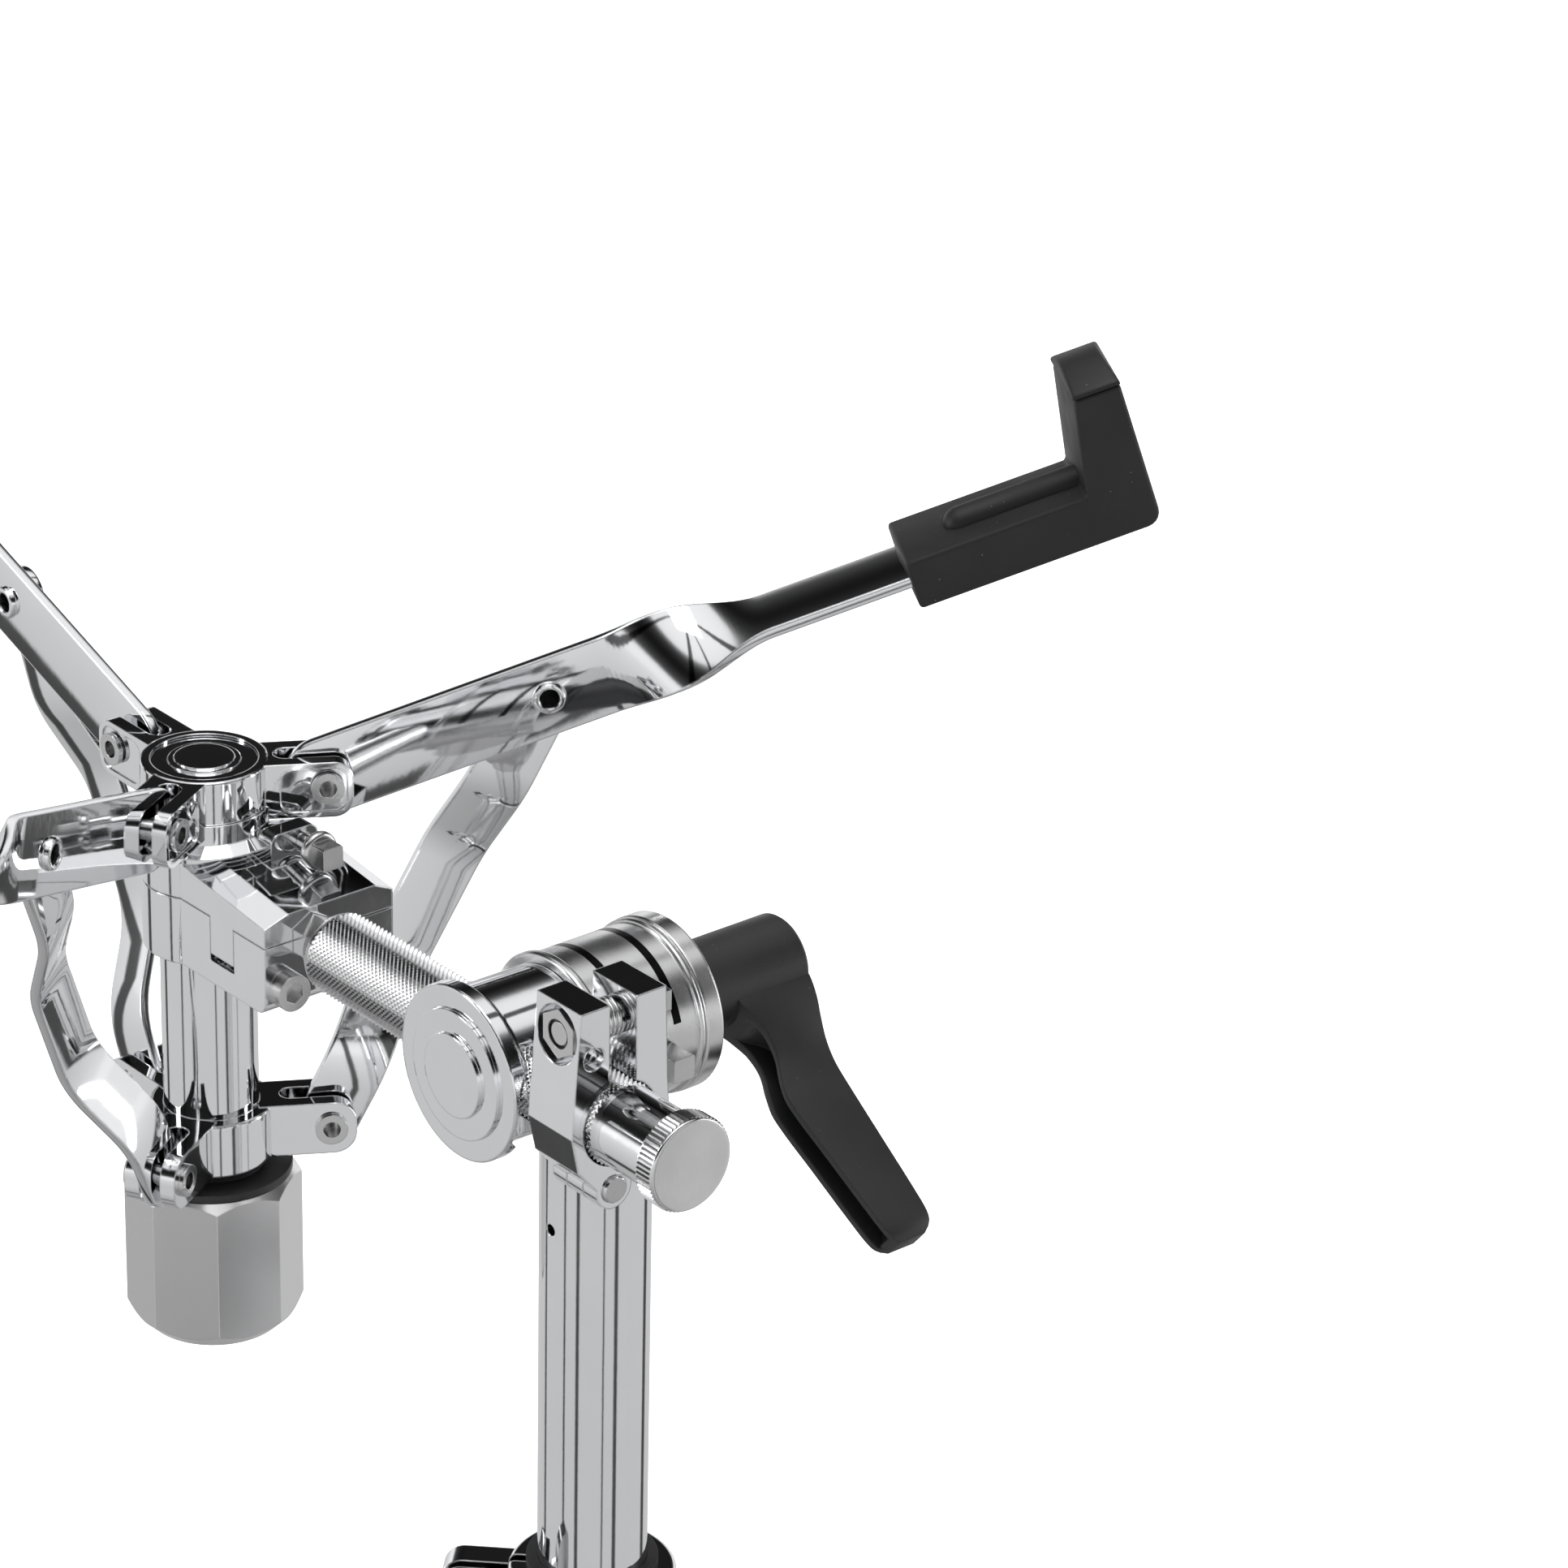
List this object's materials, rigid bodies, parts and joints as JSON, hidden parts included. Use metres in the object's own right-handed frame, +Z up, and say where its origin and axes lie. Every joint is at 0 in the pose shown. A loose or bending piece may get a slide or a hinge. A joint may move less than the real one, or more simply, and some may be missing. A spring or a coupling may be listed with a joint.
{
  "type": "snare drum stand",
  "caption": "Snare drum stand: folding basket arms with rubber tips on an offset rod, a lever-locked tilter, a height tube and a double-braced folding tripod.",
  "frame": {"origin": "axis of the stand's tube, at the floor the feet rest on", "axes": "+Z up the tube; +X the way the offset rod points past the tilter; +Y the tilter axis, towards the clamping lever"},
  "size_m": [0.5224, 0.4862, 0.6147],
  "materials": {
    "chrome_steel": "mirror polished chrome plate",
    "satin_chrome": "brushed satin plate",
    "bright_screws": "bright plated steel",
    "nut_aluminium": "satin turned aluminium",
    "black_rubber": "matt moulded rubber",
    "black_plastic": "grained moulded nylon"
  },
  "bodies": {
    "tripod_base": {"base_tube": "chrome_steel", "height_clamp": "chrome_steel", "brace_hub": "chrome_steel", "brace_hub_rivets": "bright_screws"},
    "height_wing_bolt": {"height_clamp_wing_bolt": "bright_screws"},
    "height_bush": {"height_bushing": "black_plastic"},
    "tripod_collar": {"leg_collar": "chrome_steel", "leg_collar_rivets": "bright_screws"},
    "collar_wing_screw": {"leg_collar_wing_screw": "bright_screws"},
    "post": {"upper_tube": "chrome_steel", "tilter_casting": "satin_chrome", "pressure_washer": "satin_chrome"},
    "post_key_bolt": {"tube_key_bolt": "bright_screws"},
    "lever": {"clamp_lever": "black_plastic", "lever_insert": "bright_screws", "lever_screw": "bright_screws", "lever_spring": "bright_screws"},
    "head": {"tilter_head": "chrome_steel", "tilter_cap": "chrome_steel", "tilter_stud": "bright_screws"},
    "rod": {"offset_rod": "chrome_steel", "rod_end_cap": "satin_chrome", "rod_hex_bar": "satin_chrome"},
    "memory_clamp": {"clamp_rear_jaw": "chrome_steel", "clamp_hinge_pin": "bright_screws", "clamp_spring": "bright_screws"},
    "memory_clamp_jaw": {"clamp_front_jaw": "chrome_steel", "clamp_hex_nut": "bright_screws"},
    "memory_clamp_bolt": {"clamp_key_bolt": "bright_screws"},
    "basket": {"basket_clamp_upper": "chrome_steel", "basket_clamp_lower": "chrome_steel", "basket_clamp_screw": "bright_screws", "basket_tube": "chrome_steel", "basket_stud": "bright_screws", "upper_hub": "chrome_steel", "upper_hub_rivets": "bright_screws", "hub_cap": "chrome_steel"},
    "basket_bolt": {"basket_key_bolt": "bright_screws"},
    "strut_hub": {"lower_hub": "chrome_steel", "lower_hub_rivets": "bright_screws"},
    "adjuster_ring": {"adjuster_washer": "black_plastic"},
    "adjuster": {"adjuster_nut": "nut_aluminium"},
    "basket_arm_1": {"arm_1": "chrome_steel", "arm_tip_1": "black_rubber"},
    "basket_strut_1": {"strut_1": "chrome_steel"},
    "basket_arm_2": {"arm_2": "chrome_steel", "arm_tip_2": "black_rubber"},
    "basket_strut_2": {"strut_2": "chrome_steel"},
    "basket_arm_3": {"arm_3": "chrome_steel", "arm_tip_3": "black_rubber"},
    "basket_strut_3": {"strut_3": "chrome_steel"},
    "tripod_leg_1": {"leg_1": "chrome_steel", "leg_foot_1": "black_rubber"},
    "tripod_brace_1": {"brace_1": "chrome_steel"},
    "tripod_leg_2": {"leg_2": "chrome_steel", "leg_foot_2": "black_rubber"},
    "tripod_brace_2": {"brace_2": "chrome_steel"},
    "tripod_leg_3": {"leg_3": "chrome_steel", "leg_foot_3": "black_rubber"},
    "tripod_brace_3": {"brace_3": "chrome_steel"}
  },
  "joints": [
    {"name": "leg_collar_slide", "type": "slide", "parent": "tripod_base", "child": "tripod_collar", "axis": [0, 0, 1], "range_m": [0, 0.11024]},
    {"name": "collar_wing_screw_turn", "type": "hinge", "parent": "tripod_collar", "child": "collar_wing_screw", "pos_m": [0.04, 0, 0.165], "axis": [1, 0, 0], "continuous": true},
    {"name": "height_wing_bolt_turn", "type": "hinge", "parent": "tripod_base", "child": "height_wing_bolt", "pos_m": [-0.02121, -0.02121, 0.307], "axis": [0.7071, -0.7071, 0], "continuous": true},
    {"name": "height_swivel", "type": "hinge", "parent": "tripod_base", "child": "height_bush", "pos_m": [0, 0, 0.3], "axis": [0, 0, 1], "continuous": true},
    {"name": "height_slide", "type": "slide", "parent": "height_bush", "child": "post", "axis": [0, 0, 1], "range_m": [-0.025, 0.2]},
    {"name": "post_key_bolt_turn", "type": "hinge", "parent": "post", "child": "post_key_bolt", "pos_m": [0.03, 0, 0.4815], "axis": [1, 0, 0], "continuous": true},
    {"name": "lever_turn", "type": "hinge", "parent": "post", "child": "lever", "pos_m": [0, 0.045, 0.48], "axis": [0, 1, 0], "range_deg": [0, 110]},
    {"name": "basket_tilt", "type": "hinge", "parent": "post", "child": "head", "pos_m": [0, -0.0276, 0.48], "axis": [0, 1, 0], "range_deg": [-15, 55]},
    {"name": "rod_slide", "type": "slide", "parent": "head", "child": "rod", "axis": [1, 0, 0], "range_m": [-0.0035, 0.03]},
    {"name": "memory_clamp_slide", "type": "slide", "parent": "rod", "child": "memory_clamp", "axis": [1, 0, 0], "range_m": [0, 0.02]},
    {"name": "memory_clamp_jaw_open", "type": "hinge", "parent": "memory_clamp", "child": "memory_clamp_jaw", "pos_m": [0.0355, -0.0295, 0.4625], "axis": [1, 0, 0], "range_deg": [0, 4]},
    {"name": "memory_clamp_bolt_turn", "type": "hinge", "parent": "memory_clamp", "child": "memory_clamp_bolt", "pos_m": [0.0355, -0.02, 0.5047], "axis": [0, 1, 0], "continuous": true},
    {"name": "basket_pull_off", "type": "slide", "parent": "rod", "child": "basket", "axis": [-1, 0, 0], "range_m": [0, 0.03]},
    {"name": "basket_bolt_turn", "type": "hinge", "parent": "basket", "child": "basket_bolt", "pos_m": [-0.096, -0.0155, 0.4954], "axis": [1, 0, 0], "continuous": true},
    {"name": "strut_hub_slide", "type": "slide", "parent": "basket", "child": "strut_hub", "axis": [0, 0, 1], "range_m": [0, 0.02516]},
    {"name": "arm_1_fold", "type": "hinge", "parent": "basket", "child": "basket_arm_1", "pos_m": [-0.11327, -0.00072, 0.5059], "axis": [0.8616, -0.5075, 0], "range_deg": [0, 46.2]},
    {"name": "strut_1_fold", "type": "hinge", "parent": "strut_hub", "child": "basket_strut_1", "pos_m": [-0.11327, -0.00072, 0.4057], "axis": [0.8616, -0.5075, 0], "range_deg": [0, 14.69]},
    {"name": "arm_2_fold", "type": "hinge", "parent": "basket", "child": "basket_arm_2", "pos_m": [-0.1603, -0.02733, 0.5059], "axis": [0.0087, 1, 0], "range_deg": [0, 46.21]},
    {"name": "strut_2_fold", "type": "hinge", "parent": "strut_hub", "child": "basket_strut_2", "pos_m": [-0.1603, -0.02733, 0.4057], "axis": [0.0087, 1, 0], "range_deg": [0, 14.69]},
    {"name": "arm_3_fold", "type": "hinge", "parent": "basket", "child": "basket_arm_3", "pos_m": [-0.11374, -0.05475, 0.5059], "axis": [-0.8704, -0.4924, 0], "range_deg": [0, 46.21]},
    {"name": "strut_3_fold", "type": "hinge", "parent": "strut_hub", "child": "basket_strut_3", "pos_m": [-0.11374, -0.05475, 0.4057], "axis": [-0.8704, -0.4924, 0], "range_deg": [0, 14.69]},
    {"name": "adjuster_ring_slide", "type": "slide", "parent": "basket", "child": "adjuster_ring", "axis": [0, 0, -1], "range_m": [0, 0.0075]},
    {"name": "adjuster_turn", "type": "hinge", "parent": "adjuster_ring", "child": "adjuster", "pos_m": [-0.1291, -0.0276, 0.37], "axis": [0, 0, -1], "range_deg": [0, 1800.01]},
    {"name": "leg_1_fold", "type": "hinge", "parent": "tripod_collar", "child": "tripod_leg_1", "pos_m": [-0.0295, 0, 0.165], "axis": [0, -1, 0], "range_deg": [0, 34.73]},
    {"name": "brace_1_fold", "type": "hinge", "parent": "tripod_base", "child": "tripod_brace_1", "pos_m": [-0.0295, 0, 0.048], "axis": [0, 1, 0], "range_deg": [0, 45.52]},
    {"name": "leg_2_fold", "type": "hinge", "parent": "tripod_collar", "child": "tripod_leg_2", "pos_m": [0.01475, -0.02555, 0.165], "axis": [0.866, 0.5, 0], "range_deg": [0, 34.73]},
    {"name": "brace_2_fold", "type": "hinge", "parent": "tripod_base", "child": "tripod_brace_2", "pos_m": [0.01475, -0.02555, 0.048], "axis": [-0.866, -0.5, 0], "range_deg": [0, 45.52]},
    {"name": "leg_3_fold", "type": "hinge", "parent": "tripod_collar", "child": "tripod_leg_3", "pos_m": [0.01475, 0.02555, 0.165], "axis": [-0.866, 0.5, 0], "range_deg": [0, 34.73]},
    {"name": "brace_3_fold", "type": "hinge", "parent": "tripod_base", "child": "tripod_brace_3", "pos_m": [0.01475, 0.02555, 0.048], "axis": [0.866, -0.5, 0], "range_deg": [0, 45.52]}
  ],
  "couplings": [
    {"joint": "strut_1_fold", "follows": "arm_1_fold", "ratio": 0.3177},
    {"joint": "arm_2_fold", "follows": "arm_1_fold", "ratio": 1},
    {"joint": "strut_2_fold", "follows": "arm_1_fold", "ratio": 0.3177},
    {"joint": "arm_3_fold", "follows": "arm_1_fold", "ratio": 1},
    {"joint": "strut_3_fold", "follows": "arm_1_fold", "ratio": 0.3177},
    {"joint": "strut_hub_slide", "follows": "arm_1_fold", "m_per_rad": 0.031196},
    {"joint": "adjuster_turn", "follows": "adjuster_ring_slide", "rad_per_m": 4188.8},
    {"joint": "leg_1_fold", "follows": "leg_collar_slide", "rad_per_m": 5.4968},
    {"joint": "brace_1_fold", "follows": "leg_collar_slide", "rad_per_m": 7.2053},
    {"joint": "leg_2_fold", "follows": "leg_collar_slide", "rad_per_m": 5.4968},
    {"joint": "brace_2_fold", "follows": "leg_collar_slide", "rad_per_m": 7.2053},
    {"joint": "leg_3_fold", "follows": "leg_collar_slide", "rad_per_m": 5.4968},
    {"joint": "brace_3_fold", "follows": "leg_collar_slide", "rad_per_m": 7.2053}
  ]
}
